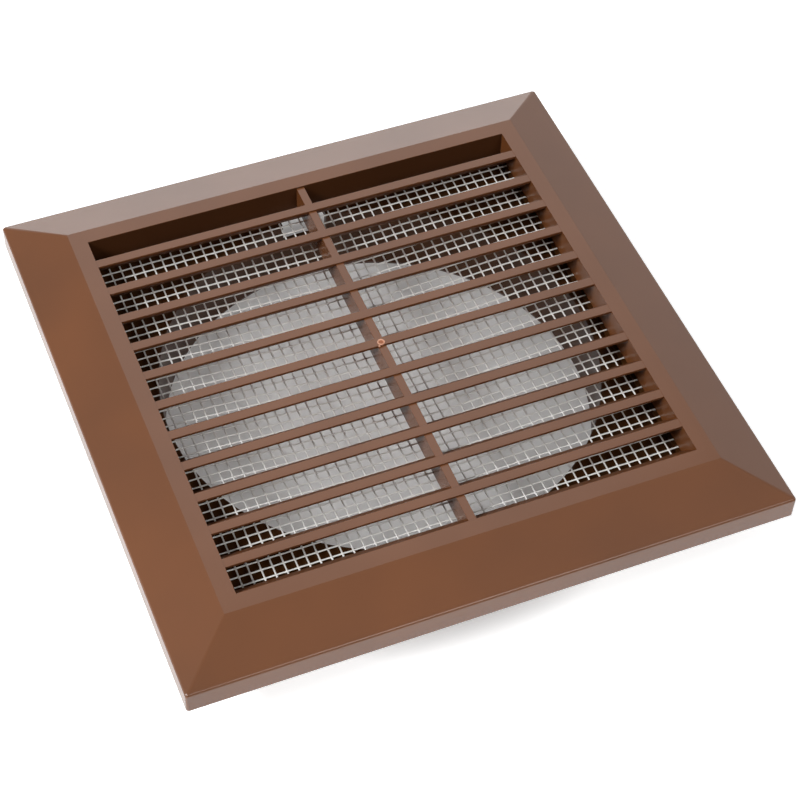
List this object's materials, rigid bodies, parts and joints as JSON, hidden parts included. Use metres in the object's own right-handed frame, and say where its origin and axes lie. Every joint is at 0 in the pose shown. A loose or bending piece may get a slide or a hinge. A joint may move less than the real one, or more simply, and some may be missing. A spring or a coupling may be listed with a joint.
{
  "type": "ventilation grille",
  "caption": "Square louvred ventilation grille with a bevelled frame, a duct collar behind it and a woven wire insect mesh inside.",
  "frame": {"origin": "centre of the duct collar on the wall plane, which is the back face of the base plate", "axes": "+X along the slats, +Y to the edge that is on top when the grille hangs on a wall, +Z out of the wall"},
  "size_m": [0.2, 0.2, 0.0398],
  "materials": {
    "brown_plastic": "moulded, satin to glossy, chocolate brown",
    "dark_brown_plastic": "moulded, satin, dark brown",
    "galvanised_wire": "bright galvanised wire"
  },
  "bodies": {
    "base": {"base_plate": "dark_brown_plastic", "mesh_warp_wires": "galvanised_wire", "mesh_weft_wires": "galvanised_wire"},
    "front": {"front_grille": "brown_plastic"}
  },
  "joints": [
    {"name": "grille_pull_off", "type": "slide", "parent": "base", "child": "front", "axis": [0, 0, 1], "range_m": [0, 0.025]}
  ]
}
